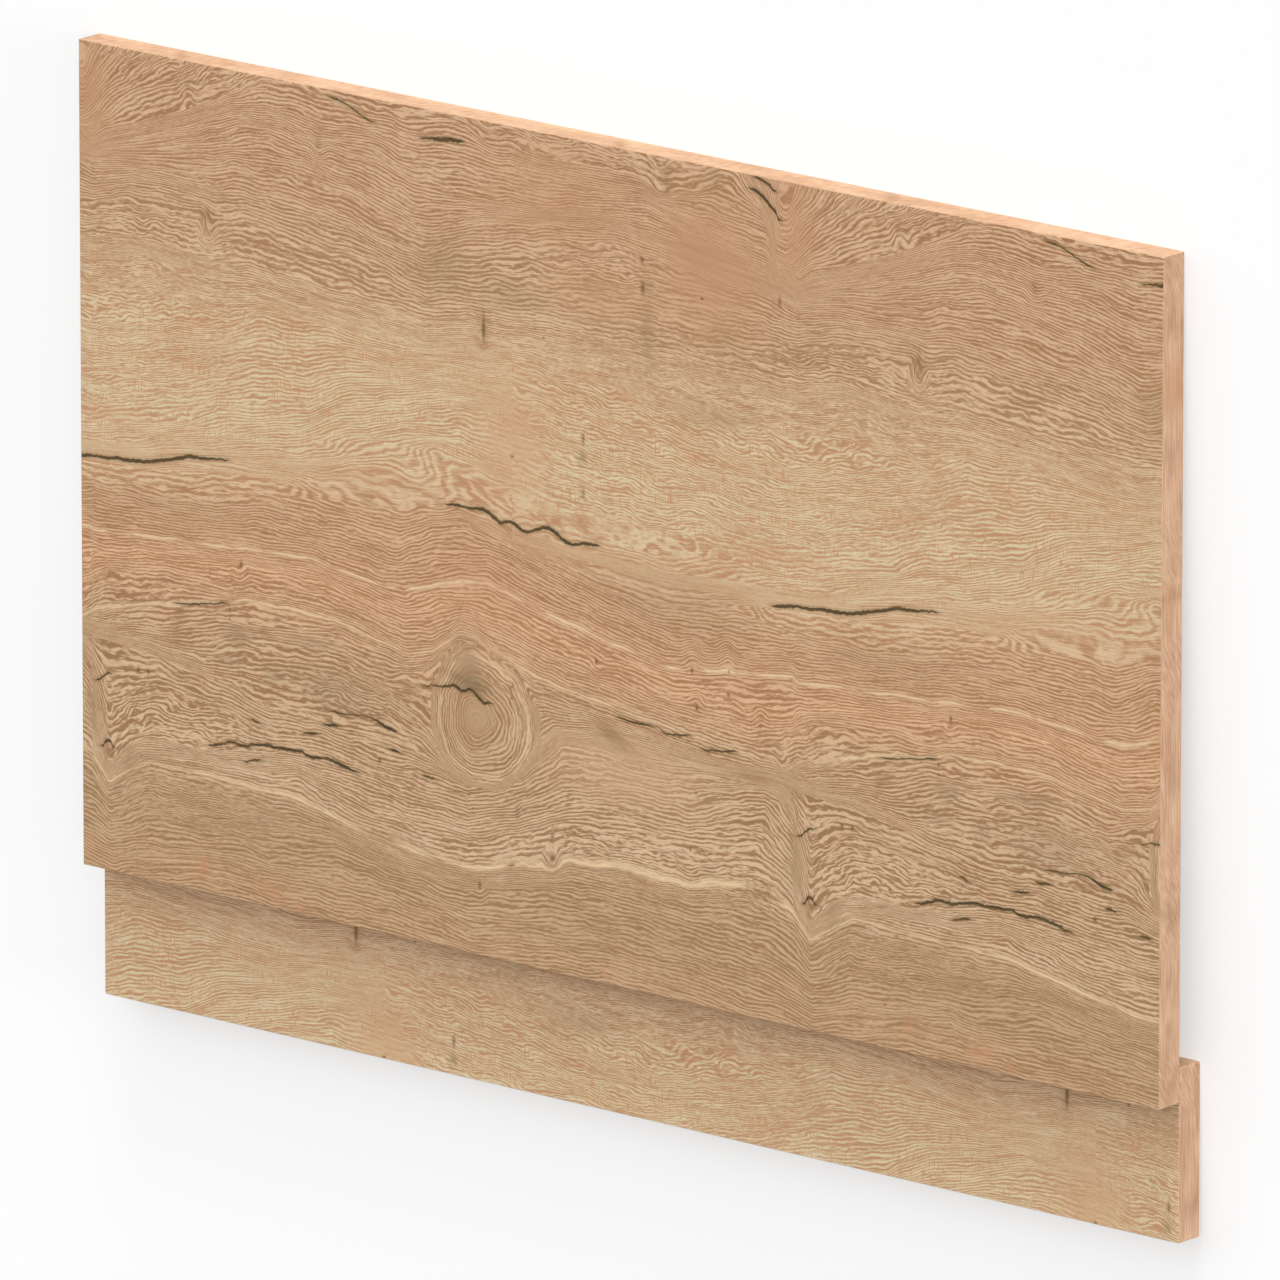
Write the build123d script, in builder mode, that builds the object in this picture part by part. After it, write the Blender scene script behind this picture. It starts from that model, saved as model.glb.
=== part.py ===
from build123d import *
import os
from math import atan2, cos, degrees, radians, sin, tan

# Bath panel: an oak-decor board with a lower plinth board screwed behind its foot.
# It is built as it lies unheld on a level floor, decorative face up. It then rests on two lines,
# the back edge of the panel's top and the back edge of the plinth's top, so it lies at a slight tilt.
# Millimetres. +X runs along the width, +Z is up, and the origin is on the floor under the middle.

# Panel board
panel_width = 780.0
panel_height = 480.0
panel_thickness = 18.0

# Plinth board, behind the panel's foot and flush with its ends
plinth_height = 100.0
plinth_thickness = 18.0
plinth_overlap = 20.0  # how far it reaches up behind the panel

# Rounding of every outer edge of both boards
edge_round = 0.5

# Plinth screws, countersunk, driven from the plinth's back into the panel
screw_count = 4
screw_end_distance = 60.0  # from the boards' ends to the outer screws
screw_cover = 6.0  # board left between a screw's point and the decorative face
screw_shank_diameter = 4.0
screw_head_diameter = 8.0
screw_head_angle = 90.0
screw_point_length = 4.0
screw_clearance = 0.1  # between a screw and its hole, all round

# Cross recess in each screw head
recess_length = 4.4
recess_width = 1.1
recess_depth = 1.6
recess_taper = 6.0

# How it lies: the back edges of both tops touch the floor
plinth_drop = plinth_height - plinth_overlap
total_height = panel_height + plinth_drop
total_thickness = panel_thickness + plinth_thickness
tilt = atan2(plinth_thickness, total_height - plinth_height)

# Heights and depths of the middles of the rounded corners that touch the floor or reach furthest
plinth_contact_height = plinth_height - edge_round
plinth_contact_depth = total_thickness - edge_round
top_reach = (total_height - edge_round) * cos(tilt) - edge_round * sin(tilt) + edge_round
foot_reach = edge_round * cos(tilt) - plinth_contact_depth * sin(tilt) - edge_round

# The decorative face: local x along the width, y up from the plinth's foot, z out of the face
face = Plane(
    origin=(
        0,
        -(top_reach + foot_reach) / 2,
        edge_round + plinth_contact_height * sin(tilt) + plinth_contact_depth * cos(tilt),
    ),
    x_dir=(1, 0, 0),
    z_dir=(0, sin(tilt), cos(tilt)),
)
lap = face.offset(-panel_thickness)  # where the panel's back meets the plinth's front

# Where the screws enter: on the plinth's back, half-way up the overlap, looking out of it
screw_line = Plane(
    origin=face.from_local_coords((0, plinth_height - plinth_overlap / 2, -total_thickness)),
    x_dir=(1, 0, 0),
    z_dir=-face.z_dir,
)
screw_spacing = (panel_width - 2 * screw_end_distance) / max(screw_count - 1, 1)
screw_length = total_thickness - screw_cover
screw_head_height = (screw_head_diameter - screw_shank_diameter) / 2 / tan(radians(screw_head_angle / 2))
hole_radius = screw_shank_diameter / 2 + screw_clearance
screw_places = GridLocations(screw_spacing, 1, screw_count, 1).locations

# Panel board, with a blind pilot hole for each screw
with BuildPart() as panel_board:
    with BuildSketch(face):
        with Locations((0, plinth_drop + panel_height / 2)):
            Rectangle(panel_width, panel_height)
    extrude(amount=-panel_thickness)
    fillet(panel_board.edges(), radius=edge_round)
    with Locations(screw_line.offset(-plinth_thickness)):
        with Locations(*screw_places):
            Hole(radius=hole_radius, depth=screw_length - plinth_thickness + screw_clearance)

# Plinth board, with a countersunk hole for each screw
with BuildPart() as plinth_board:
    with BuildSketch(lap):
        with Locations((0, plinth_height / 2)):
            Rectangle(panel_width, plinth_height)
    extrude(amount=-plinth_thickness)
    fillet(plinth_board.edges(), radius=edge_round)
    with Locations(screw_line):
        with Locations(*screw_places):
            CounterSinkHole(
                radius=hole_radius,
                counter_sink_radius=screw_head_diameter / 2 + screw_clearance,
                depth=plinth_thickness,
                counter_sink_angle=screw_head_angle,
            )

# The screws, each turned about its own axis with its head flush in the plinth's back
screws = []
for place in screw_places:
    axis_plane = Plane(screw_line.location * place)
    half_section = Plane(origin=axis_plane.origin, x_dir=axis_plane.x_dir, z_dir=axis_plane.y_dir)
    with BuildPart() as plinth_screw:
        with BuildSketch(half_section):
            with BuildLine():
                Polyline(
                    (0, 0),
                    (screw_head_diameter / 2, 0),
                    (screw_shank_diameter / 2, screw_head_height),
                    (screw_shank_diameter / 2, screw_length - screw_point_length),
                    (0, screw_length),
                    close=True,
                )
            make_face()
        revolve(axis=Axis(axis_plane.origin, axis_plane.z_dir))
        with BuildSketch(axis_plane):
            Rectangle(recess_length, recess_width)
            Rectangle(recess_width, recess_length)
        extrude(amount=-recess_depth, taper=recess_taper, mode=Mode.SUBTRACT)
    screws.append(plinth_screw.part)

panel_board.part.label = "panel_board"
plinth_board.part.label = "plinth_board"
for number, screw in enumerate(screws, start=1):
    screw.label = f"plinth_screw_{number}"

os.makedirs("parts", exist_ok=True)
export_step(panel_board.part, "parts/panel_board.step")
export_step(plinth_board.part, "parts/plinth_board.step")
for screw in screws:
    export_step(screw, f"parts/{screw.label}.step")

print(f"lies at {degrees(tilt):.3f} degrees, screws {screw_length:.1f} mm long")
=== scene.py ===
"""Bath end panel and its plinth, laid face up: an oak decor on every face, zinc screws behind."""

from math import atan2, cos, pi, sin

import bpy
from mathutils import Matrix, Vector

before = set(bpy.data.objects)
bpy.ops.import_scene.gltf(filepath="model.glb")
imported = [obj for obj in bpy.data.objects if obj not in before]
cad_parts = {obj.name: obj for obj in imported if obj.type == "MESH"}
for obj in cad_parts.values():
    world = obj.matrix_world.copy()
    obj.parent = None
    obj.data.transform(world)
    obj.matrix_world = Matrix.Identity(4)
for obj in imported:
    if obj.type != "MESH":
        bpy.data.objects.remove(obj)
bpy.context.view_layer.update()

# ---- how the board lies, in mm, as the solids have it
BOARD_WIDTH, BOARD_HEIGHT, BOARD_THICKNESS = 780.0, 480.0, 18.0
PLINTH_HEIGHT, PLINTH_OVERLAP, ROUND = 100.0, 20.0, 0.5
TOTAL_HEIGHT = BOARD_HEIGHT + PLINTH_HEIGHT - PLINTH_OVERLAP
TILT = atan2(BOARD_THICKNESS, TOTAL_HEIGHT - PLINTH_HEIGHT)
LEAN, LEVEL = sin(TILT), cos(TILT)
FULL_DEPTH = 2 * BOARD_THICKNESS
LAID_TOP = (TOTAL_HEIGHT - ROUND) * LEVEL - ROUND * LEAN + ROUND
LAID_FOOT = ROUND * LEVEL - (FULL_DEPTH - ROUND) * LEAN - ROUND
FACE_Y = -(LAID_TOP + LAID_FOOT) / 2
FACE_Z = ROUND + (PLINTH_HEIGHT - ROUND) * LEAN + (FULL_DEPTH - ROUND) * LEVEL


def laid(along, height, depth):
    """A point of the standing panel, in mm, as it lies on the floor, in metres."""
    return Vector((along, FACE_Y + height * LEVEL - depth * LEAN,
                   FACE_Z - height * LEAN - depth * LEVEL)) / 1000


def laid_way(along, back, up):
    """A direction beside the standing panel, turned as the panel was laid."""
    return Vector((along, up * LEVEL - back * LEAN, -up * LEAN - back * LEVEL))


# ---- shader arithmetic
class Wire:
    """One output of a node. Sums on it add Math nodes to its tree."""

    def __init__(self, finish, socket):
        self.finish, self.socket = finish, socket

    def maths(self, operation, *values, clamp=False):
        return self.finish.node("ShaderNodeMath", {"operation": operation, "use_clamp": clamp},
                                dict(enumerate(values)))

    def __add__(self, other):
        return self.maths("ADD", self, other)

    def __sub__(self, other):
        return self.maths("SUBTRACT", self, other)

    def __rsub__(self, other):
        return self.maths("SUBTRACT", other, self)

    def __mul__(self, other):
        return self.maths("MULTIPLY", self, other)

    def __truediv__(self, other):
        return self.maths("DIVIDE", self, other)

    def __neg__(self):
        return self.maths("MULTIPLY", self, -1.0)

    def __abs__(self):
        return self.maths("ABSOLUTE", self)

    __radd__, __rmul__ = __add__, __mul__

    def least(self, other):
        return self.maths("MINIMUM", self, other)

    def most(self, other):
        return self.maths("MAXIMUM", self, other)

    def sine(self):
        return self.maths("SINE", self)

    def root(self):
        return self.maths("SQRT", self)

    def scaled(self, factor, added):
        return self.maths("MULTIPLY_ADD", self, factor, added)

    def held(self):
        return self.maths("ADD", self, 0.0, clamp=True)

    def wrapped(self, low, high):
        return self.maths("WRAP", self, high, low)

    def spread(self, low, high, start=0.0, end=1.0, smooth=False):
        """The value's way from low to high, as start to end."""
        return self.finish.node(
            "ShaderNodeMapRange", {"interpolation_type": "SMOOTHSTEP" if smooth else "LINEAR"},
            {0: self, 1: low, 2: high, 3: start, 4: end})


class Finish:
    """A node tree that is written one node at a time."""

    def __init__(self, tree):
        self.tree = tree
        self.west_u = self.east_u = self.west = self.east = None

    def node(self, kind, settings=None, inputs=None, output=0):
        """Adds a node and returns one of its outputs, or the node itself where output is None."""
        made = self.tree.nodes.new(kind)
        for name, value in (settings or {}).items():
            if name == "stops":
                ramp = made.color_ramp
                while len(ramp.elements) < len(value):
                    ramp.elements.new(0.5)
                for element, (place, colour) in zip(ramp.elements, value):
                    element.position, element.color = place, tint(colour)
            elif name == "traces":
                for curve, points in zip(made.mapping.curves, value):
                    draw_trace(curve, points)
                made.mapping.update()
            else:
                setattr(made, name, value)
        for key, value in (inputs or {}).items():
            if isinstance(value, Wire):
                self.tree.links.new(value.socket, made.inputs[key])
            else:
                made.inputs[key].default_value = value
        return made if output is None else Wire(self, made.outputs[output])

    def vector(self, *parts):
        """Three values as one vector."""
        return self.node("ShaderNodeCombineXYZ", inputs=dict(enumerate(parts)))

    def blend(self, share, under, over, way="MIX"):
        """Two colours mixed by a share."""
        return self.node("ShaderNodeMix", {"data_type": "RGBA", "blend_type": way},
                         {0: share, 6: under, 7: over}, 2)

    def noise(self, where, detail=2.0, rough=0.5, sizes="3D", output=0):
        """Soft noise with marks of about one unit."""
        return self.node("ShaderNodeTexNoise", {"noise_dimensions": sizes},
                         {"Vector": where, "Scale": 1.0, "Detail": detail, "Roughness": rough}, output)

    def parts(self, colour):
        """The three channels of a colour."""
        split = self.node("ShaderNodeSeparateColor", None, {0: colour}, None)
        return [Wire(self, split.outputs[i]) for i in range(3)]


def tint(colour):
    """A colour as it is written on screen, 0 to 255, in the scene's linear light."""
    if len(colour) == 4:
        return colour
    parts = [c / 255 for c in colour]
    return (*(p / 12.92 if p <= 0.04045 else ((p + 0.055) / 1.055) ** 2.4 for p in parts), 1.0)


def draw_trace(curve, points):
    """Puts a curve through its points."""
    placed = curve.points
    placed[0].location, placed[1].location = points[0], points[-1]
    for point in points[1:-1]:
        placed.new(*point)


# ---- the oak decor: U runs along the board and V down from the panel's top edge, in mm
# The sheet repeats along U. It is read twice: from SEAM - REPEAT to SEAM as the west copy, and from EAST_START
# on as the east copy, so that no mark has to cross a seam.
REPEAT = 513.5
SEAM = 318.0
EAST_START = 61.5
EAST_MARKS = (150, 490)
SHEET = 480.0
ABOVE = 60.0
LEAST_GAP = 0.6
TRACES_A_NODE = 3

# growth lines from the top of the sheet down: how much growth lies between each and the next, then its course
GROWTH = [
    (12, [(-74, -50), (-20, -30), (-8, -10), (0, 14), (8, 2), (16, -14), (40, -50), (250, -55)]),
    (12, [(-74, -40), (-38, -30), (-16, -8), (-4, 30), (4, 30), (12, 18), (22, 6), (32, -6), (60, -42),
          (250, -45)]),
    (12, [(-74, -28), (-38, -22), (-18, 0), (-6, 40), (2, 42), (15, 29), (30, 15), (45, 4), (56, -6), (84, -34),
          (250, -35)]),
    (14, [(-74, -14), (-38, -12), (-18, 8), (-4, 50), (6, 49), (20, 37), (40, 24), (60, 13), (80, 3), (95, -8),
          (130, -22), (250, -20), (400, -12)]),
    (12, [(10, 55), (20, 49), (40, 42), (60, 35), (80, 28), (100, 19), (120, 10), (130, 5), (145, 2), (160, 2),
          (180, 5), (200, 7), (240, 8), (270, 5), (285, 4), (300, 11), (345, 14), (400, 13), (415, 15), (425, 20),
          (450, 16), (475, 5), (505, 24)]),
    (12, [(10, 58), (20, 52), (40, 46), (60, 40), (80, 33), (100, 26), (120, 19), (135, 16), (150, 16),
          (180, 19), (220, 18), (250, 20), (290, 18), (305, 21), (410, 21), (425, 24), (455, 21), (500, 28)]),
    (12, [(10, 60.5), (20, 56), (60, 44), (100, 31), (120, 25), (140, 23), (178, 27), (220, 26), (235, 31),
          (250, 33), (285, 31), (320, 33), (380, 29.5), (415, 26), (430, 30), (500, 40)]),
    (12, [(10, 63), (20, 59), (60, 50), (100, 39), (120, 32), (140, 30), (177, 34), (210, 36), (250, 46), (290, 45),
          (340, 43), (380, 38), (415, 34), (500, 50)]),
    (12, [(10, 65.2), (20, 62), (60, 56), (100, 48), (140, 39.5), (175, 44), (210, 49), (245, 58), (280, 53),
          (320, 50), (365, 44), (400, 43), (415, 44), (500, 56)]),
    (12, [(10, 67), (40, 63), (80, 59), (100, 57), (115, 52), (155, 51), (200, 57), (250, 70), (280, 64),
          (295, 58), (350, 51), (400, 47), (500, 62)]),
    (12, [(10, 73), (40, 69), (100, 69), (115, 65), (160, 66), (200, 72), (253, 83), (290, 71), (330, 63),
          (390, 55), (500, 68)]),
    (12, [(10, 83), (40, 76), (80, 75), (100, 77), (120, 74), (160, 78), (200, 82), (255, 93), (280, 87),
          (330, 80), (400, 77), (500, 80)]),
    (12, [(10, 92), (35, 85), (92, 85), (100, 90), (120, 87), (160, 90), (200, 95), (255, 105), (290, 101),
          (400, 94), (500, 92)]),
    (12, [(10, 112), (40, 107), (95, 112), (125, 108), (200, 114), (255, 116), (285, 112), (400, 108)]),
    (14, [(12, 124), (50, 117), (90, 121), (140, 122), (200, 125), (253, 129), (285, 123), (400, 122)]),
    (40, [(-195, 140), (-100, 150), (-30, 160), (10, 162), (40, 157), (80, 150), (110, 146), (130, 138),
          (180, 136), (240, 140), (290, 135), (318, 134)]),
    (14, [(-195, 219), (-171, 222), (-133, 226), (-93, 227), (-53, 222), (6, 222), (20, 220), (80, 208),
          (100, 199), (125, 194), (170, 186), (200, 172), (240, 164), (267, 158), (318, 158)]),
    (14, [(-195, 228), (-158, 233), (-83, 236), (-43, 233), (6, 231), (20, 230), (40, 227), (60, 221), (80, 216),
          (120, 209), (160, 200), (200, 185), (240, 176), (275, 167), (318, 165)]),
    (12, [(-195, 229.8), (-133, 235.6), (-83, 237.2), (-43, 235.6), (0, 235), (20, 234), (60, 227), (100, 221),
          (160, 213), (200, 199), (240, 188), (280, 184), (318, 188)]),
    (12, [(-195, 231.7), (-100, 239.5), (-43, 238), (0, 237), (50, 233), (70, 229.5), (100, 225), (160, 219),
          (200, 208), (240, 200), (262, 192), (318, 201)]),
    (12, [(-195, 233.4), (-100, 241.3), (-43, 240), (0, 238.8), (50, 235.2), (70, 231.5), (100, 227.5),
          (160, 222.5), (200, 214), (220, 211), (250, 211), (275, 204), (318, 208)]),
    (12, [(-195, 235.2), (-100, 243), (-43, 241.8), (0, 240.6), (50, 237.4), (70, 234), (130, 229.5), (170, 226),
          (200, 222), (240, 222), (280, 216), (310, 221), (318, 221.5)]),
    (12, [(-195, 238), (-173, 239), (-158, 241), (-133, 247), (-83, 250), (-43, 247), (0, 243), (60, 240),
          (100, 234), (140, 231.5), (200, 235), (235, 237), (250, 232), (280, 226), (300, 228), (318, 234)]),
    (12, [(10, 255), (60, 256), (100, 252), (135, 246), (200, 247), (235, 249), (260, 238), (285, 233),
          (310, 238), (330, 243), (380, 254), (420, 263), (475, 258), (520, 256)]),
    (12, [(10, 265), (60, 264), (100, 262), (130, 257), (200, 259), (235, 261), (262, 250), (300, 245),
          (340, 255), (380, 264), (435, 274), (485, 271), (520, 267)]),
    (12, [(10, 277), (60, 274), (120, 269), (170, 267), (220, 273), (250, 269), (280, 259), (300, 257),
          (340, 267), (380, 276), (430, 283), (500, 278), (520, 274)]),
    (12, [(10, 287), (60, 283), (115, 280), (170, 276), (240, 284), (265, 276), (300, 270), (340, 278),
          (395, 289), (435, 295), (475, 289), (520, 285)]),
    (12, [(10, 299), (60, 292), (100, 289), (120, 284), (180, 284), (220, 293), (240, 296), (262, 290),
          (285, 282), (315, 288), (360, 298), (395, 302), (435, 309), (490, 309), (520, 303)]),
    (8, [(0, 316), (20, 305), (60, 302), (110, 302), (140, 298), (190, 299), (240, 308), (260, 305), (280, 292),
         (290, 292), (305, 297), (340, 305), (380, 310), (435, 318), (490, 320), (512, 318)]),
    (8, [(0, 335), (10, 328), (20, 325), (40, 321), (60, 316), (80, 312), (100, 309), (120, 304), (160, 303),
         (190, 305), (240, 314), (260, 310), (280, 297), (290, 297), (305, 304), (340, 312), (380, 318),
         (435, 325), (490, 329), (507, 331)]),
    (10, [(20, 336), (40, 331), (60, 329), (80, 325), (100, 318), (130, 318), (150, 316), (190, 311), (225, 318),
          (240, 320), (260, 315), (278, 302), (288, 302), (298, 310), (320, 314), (335, 322), (375, 324.5),
          (420, 329.5), (465, 336), (505, 336)]),
    (10, [(20, 340), (50, 337), (80, 335), (120, 325), (160, 323), (200, 325), (230, 330), (255, 322), (270, 312),
          (284, 307), (296, 313), (310, 322), (325, 331), (340, 332), (375, 330.5), (420, 334.5), (457, 339.5),
          (505, 338)]),
    (14, [(20, 343), (50, 342), (90, 346), (142, 338), (190, 336), (230, 342), (250, 350), (262, 362), (275, 374),
          (291, 377), (305, 373.5), (320, 365), (335, 352), (348, 340), (375, 336), (420, 339.5), (457, 341.5),
          (505, 340)]),
    (12, [(20, 346), (50, 348), (90, 354), (140, 365), (200, 365), (240, 368), (262, 374), (285, 381), (305, 377),
          (325, 369), (338, 357), (352, 344.5), (375, 341.5), (420, 345), (457, 343.5), (505, 342)]),
    (12, [(20, 385), (35, 374), (50, 368), (65, 367), (110, 371), (145, 376), (180, 374), (215, 380), (250, 380),
          (285, 384), (305, 379), (325, 371.5), (340, 360), (355, 348), (367, 346), (395, 349), (430, 350.5),
          (455, 347), (500, 344.5), (510, 345), (520, 352), (525.5, 368)]),
    (12, [(20, 417), (35, 403), (50, 396), (90, 397), (150, 388), (190, 388), (230, 392), (285, 396),
          (320, 386), (355, 368), (395, 362), (430, 362), (450, 359), (480, 351), (500, 348), (510, 351),
          (520, 362), (525.5, 390)]),
    (12, [(20, 421), (40, 405), (75, 401), (120, 400), (155, 395), (200, 399), (235, 404), (285, 407), (320, 397),
          (355, 383), (395, 375), (445, 377), (485, 366), (500, 362), (520, 380), (525.5, 402)]),
    (12, [(20, 423), (45, 407), (80, 403), (130, 403), (160, 400), (215, 414), (285, 416.5), (320, 406),
          (355, 393), (410, 389), (455, 388), (495, 381), (520, 396), (525.5, 412)]),
    (22, [(20, 428), (50, 411), (120, 413), (160, 414), (210, 424), (250, 430), (290, 432), (325, 423),
          (348, 421), (360, 415), (400, 412), (445, 414), (480, 408), (500, 407), (520, 415)]),
    (12, [(9, 447), (20, 453), (31, 450), (47, 442), (95, 440), (140, 437), (185, 433), (220, 440), (265, 444),
          (285, 445), (300, 440), (345, 433), (385, 432), (440, 436), (485, 439), (505, 442)]),
    (12, [(9, 461), (21, 465), (33, 463), (50, 457), (120, 452), (140, 455), (190, 448), (240, 452), (285, 458),
          (320, 454), (365, 448), (405, 448), (440, 451), (485, 454), (505, 456)]),
    (12, [(9, 471), (22, 474), (42, 469), (90, 462), (150, 463), (240, 464), (290, 470), (345, 463), (385, 461),
          (425, 462), (470, 466), (505, 468)]),
]
ROWS_ABOVE = 4
GROWTH_ABOVE = float(sum(step for step, course in GROWTH[:ROWS_ABOVE]))


def laid_round(points):
    """One line's points within one repeat of the decor, with its two ends meeting at the seam."""
    if points[0][0] <= SEAM - REPEAT + 1:
        return [(SEAM - REPEAT, points[0][1])] + points[1:-1] + [(SEAM, points[-1][1])]
    turned = sorted((u - REPEAT if u > SEAM else u, v) for u, v in points)
    (first_u, first_v), (last_u, last_v) = turned[0], turned[-1]
    share = (SEAM - last_u) / (first_u + REPEAT - last_u)
    meeting = last_v + (first_v - last_v) * share
    return [(SEAM - REPEAT, meeting)] + turned + [(SEAM, meeting)]


# the edges of the pale and dark bands, in the same way
BANDS = [
    (110, [(0, -12), (250, -12)]),
    (104, [(10, 114), (40, 110), (95, 113), (125, 109), (200, 114), (255, 118), (285, 112), (340, 104), (400, 112),
           (460, 122)]),
    (48, [(0, 237), (50, 234), (100, 227), (150, 221), (190, 208), (240, 203), (275, 204), (318, 214),
          (345, 221), (400, 225), (450, 222), (485, 230), (507, 238)]),
    (60, [(10, 262), (60, 260), (135, 250), (235, 250), (260, 240), (285, 235), (310, 240), (380, 254),
          (420, 262), (475, 260)]),
    (50, [(0, 318), (20, 305), (60, 302), (140, 298), (190, 299), (240, 306), (260, 303), (280, 291), (290, 291),
          (305, 296), (340, 303), (380, 309), (435, 315), (490, 318)]),
    (60, [(20, 350), (90, 356), (140, 363), (240, 366), (285, 372), (340, 356), (400, 346), (500, 345)]),
    (58, [(20, 430), (50, 412), (120, 415), (160, 417), (210, 426), (250, 432), (290, 433), (325, 424),
          (360, 416), (400, 413), (445, 415), (500, 410)]),
]


def height_at(course, u):
    """How far down a course lies at U."""
    for (u1, v1), (u2, v2) in zip(course, course[1:]):
        if u <= u2:
            return v1 + (v2 - v1) * (u - u1) / (u2 - u1)
    return course[-1][1]


def kept_below(course, above):
    """The course, kept clear of the one above it."""
    places = sorted({u for u, v in course + above})
    return [(u, max(height_at(course, u), height_at(above, u) + LEAST_GAP)) for u in places]


def growth_field(finish, down, table, above=0.0):
    """How many mm of growth lie above a point: level along each growth line."""
    share = finish.west_u.spread(SEAM - REPEAT, SEAM)
    lowered = (down + ABOVE) / (SHEET + ABOVE)
    courses, lines, total = [], [], None
    for step, course in table:
        course = laid_round(course)
        courses.append(kept_below(course, courses[-1]) if courses else course)
    for first in range(0, len(table), TRACES_A_NODE):
        traces = [[((u - SEAM + REPEAT) / REPEAT, (v + ABOVE) / (SHEET + ABOVE)) for u, v in course]
                  for course in courses[first:first + TRACES_A_NODE]]
        split = finish.parts(finish.node("ShaderNodeRGBCurve", {"traces": traces}, {"Color": share}))
        lines = lines[-1:] + split[:len(traces)]
        offset = first - 1 if first else 0
        for place in range(len(lines) - 1):
            step = table[offset + place][0]
            part = lowered.spread(lines[place], lines[place + 1], 0.0, float(step))
            total = part - above if total is None else total + part
    return total + ((lowered - lines[-1]) * (SHEET + ABOVE)).most(0.0)


# the darkest and the lightest wood of each band, by how much growth lies above
DARK_WOOD = [(0, (161, 120, 86)), (70, (163, 123, 89)), (100, (164, 126, 93)), (120, (175, 133, 99)),
             (140, (187, 142, 107)), (195, (190, 146, 111)), (225, (187, 141, 106)), (250, (172, 128, 94)),
             (265, (161, 121, 86)), (292, (165, 122, 87)), (306, (173, 126, 89)), (325, (163, 123, 89)),
             (350, (157, 119, 86)), (384, (153, 118, 85)), (420, (157, 121, 88)), (440, (153, 119, 86)),
             (490, (155, 120, 86))]
LIGHT_WOOD = [(0, (215, 179, 146)), (70, (213, 177, 143)), (100, (214, 181, 147)), (120, (216, 189, 154)),
              (140, (216, 196, 160)), (195, (217, 201, 165)), (225, (217, 192, 156)), (250, (214, 180, 145)),
              (265, (213, 175, 141)), (292, (214, 174, 139)), (306, (220, 181, 144)), (325, (215, 177, 142)),
              (350, (209, 178, 143)), (384, (210, 179, 145)), (420, (214, 185, 152)), (440, (200, 169, 136)),
              (490, (201, 168, 134))]
GROWTH_DEPTH = 500.0
SHEEN = (0.028, 0.028, 0.028, 1)
CREAM_WOOD, FLECK, SLANT, SPINDLE = (232, 205, 165), (198, 146, 108), (150, 118, 84), (106, 77, 43)
CRACK_STAIN, CRACK_DARK = (124, 102, 66), (64, 55, 30)
# how far the growth lines and the bands wander in mm, and the knot's rings as a share of its reach
WANDER, BAND_WANDER, KNOT_WANDER = 3.4, 18.0, 0.16
# how strongly lines and broad clouds part dark from light wood, and what calm places leave of the lines
LINE_CONTRAST, BROAD_CONTRAST, LEAST_STRENGTH = 5.2, 0.9, 0.12
# mm of growth from ring to ring: above the pale band, in it, and how much more below it
RING_GAP, PALE_RING_GAP, LOW_RING_GAP = 2.25, 1.95, 0.25

# where the lines are faint or strong, by the distance from the top edge
STRENGTH = [(0, 0.85), (60, 0.75), (100, 0.85), (125, 0.75), (200, 0.72), (225, 0.75), (260, 0.85), (300, 0.8),
            (330, 0.95), (400, 1.0), (430, 0.75), (480, 0.7)]

# smooth or vivid places: middle U, V, half width, half height, how much line strength is added
CALM = [(215, 223, 80, 15, -0.4), (262, 203, 40, 18, -0.3), (370, 217, 75, 13, -0.3), (458, 55, 50, 52, -0.55),
        (318, 182, 34, 46, -0.4), (380, 88, 55, 22, -0.3), (8, 20, 26, 40, -0.35), (345, 30, 60, 40, -0.2),
        (415, 237, 110, 10, -0.25), (22, 236, 48, 7, -0.2), (291, 343, 17, 15, -0.75), (284, 314, 18, 20, -0.7),
        (291, 345, 56, 50, -0.5), (160, 28, 60, 26, 0.25), (180, 388, 90, 16, 0.25), (400, 340, 70, 26, 0.2)]

# where the growth lines stand wide apart or close together, so finer or coarser grain is shown there:
# middle U, V, half width, half height, share
WIDE = [(45, 150, 105, 72, 1.6), (430, 165, 170, 84, 1.8), (60, 103, 90, 24, 1.0), (70, 382, 90, 24, 1.3),
        (85, 430, 100, 22, 1.3), (428, 408, 115, 24, 1.3), (213, 345, 62, 20, 1.3), (16, 328, 28, 30, 1.2),
        (390, 72, 60, 20, 1.1), (80, 2, 95, 16, 1.2), (370, 2, 115, 16, 1.2), (330, 335, 16, 26, 0.8)]
CLOSE = [(60, 57, 60, 16, 0.9), (95, 227, 88, 11, 1.0), (412, 247, 100, 13, 1.0), (450, 347, 50, 12, 0.9),
         (80, 466, 70, 12, 0.9)]

# long cream lines: depth of growth, half width, strength
CREAM = [(293.0, 2.0, 0.85), (330.5, 1.5, 0.6), (431.0, 2.0, 0.8)]

# the round knot: its middle, its reach to the right, left, foot and top, its rings in mm of growth, and the growth
# at its heart
KNOT_U, KNOT_V = 291.0, 345.0
KNOT_RIGHT, KNOT_LEFT, KNOT_BELOW, KNOT_ABOVE = 46, 31, 37, 44
KNOT_RINGS, KNOT_HEART = 36.0, 300.0

# small bends of the lines round spindles: middle U, V, half width, half height, lift in mm
BENDS = [(95.5, 96, 9, 14, -5.0), (297.5, 132, 9, 14, -4.0), (347, 416, 9, 12, -5.0), (81, 18, 8, 12, 3.0),
         (448, 278, 9, 14, 4.0), (473, 274, 9, 16, 5.0), (451, 305, 8, 8, 3.0), (497, 306, 8, 8, 3.0),
         (119, 292, 8, 10, -2.5), (177, 36, 9, 12, -4.0), (379, 302, 7, 8, -2.0), (294, 444, 8, 10, -2.5)]

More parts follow.
